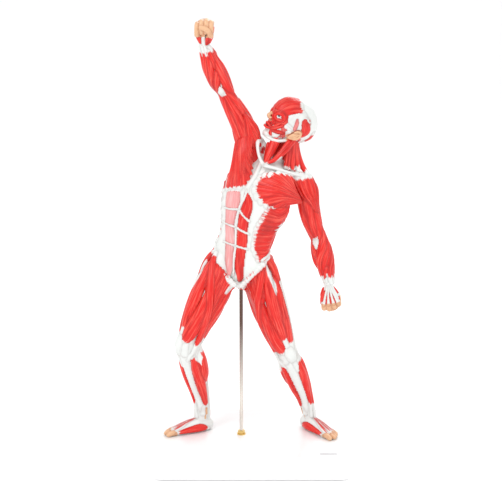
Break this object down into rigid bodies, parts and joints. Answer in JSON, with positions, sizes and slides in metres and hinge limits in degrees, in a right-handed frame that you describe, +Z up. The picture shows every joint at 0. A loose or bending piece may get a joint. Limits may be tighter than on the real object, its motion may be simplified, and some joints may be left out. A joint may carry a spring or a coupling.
{
  "type": "human muscle figure model",
  "caption": "Painted quarter-size anatomical figure showing the body's surface muscles, one fist raised, standing on a white base with a steel rod; it lifts off the rod.",
  "frame": {"origin": "middle of the base, on the surface that it stands on", "axes": "+Z up, the figure faces -Y, and its left side is at +X"},
  "size_m": [0.2158, 0.1578, 0.5001],
  "materials": {
    "painted_figure": "hand-painted muscles and tendons, satin varnish",
    "white_plastic": "moulded, glossy",
    "pad_rubber": "matt",
    "label_ink": "printed film, matt",
    "rod_steel": "drawn and polished",
    "zinc_steel": "zinc plated",
    "yellow_zinc": "yellow passivated",
    "sleeve_plastic": "moulded"
  },
  "bodies": {
    "base": {"base_shell": "white_plastic", "base_pads": "pad_rubber", "label_plate": "label_ink", "support_rod": "rod_steel", "lower_washer": "zinc_steel", "lower_nut": "zinc_steel", "right_foot_pin": "rod_steel", "left_foot_pin": "rod_steel"},
    "nut": {"flange_nut": "yellow_zinc"},
    "figure": {"trunk": "painted_figure", "head": "painted_figure", "right_arm": "painted_figure", "left_arm": "painted_figure", "right_hand": "painted_figure", "left_hand": "painted_figure", "right_leg": "painted_figure", "left_leg": "painted_figure", "right_foot": "painted_figure", "left_foot": "painted_figure", "rod_sleeve": "sleeve_plastic", "right_foot_sleeve": "sleeve_plastic", "left_foot_sleeve": "sleeve_plastic"}
  },
  "joints": [
    {"name": "figure_lift", "type": "slide", "parent": "base", "child": "figure", "axis": [0, 0, 1], "range_m": [0, 0.03]},
    {"name": "flange_nut_turn", "type": "hinge", "parent": "base", "child": "nut", "pos_m": [-0.012, -0.005, 0.0278], "axis": [0, 0, 1], "continuous": true}
  ]
}
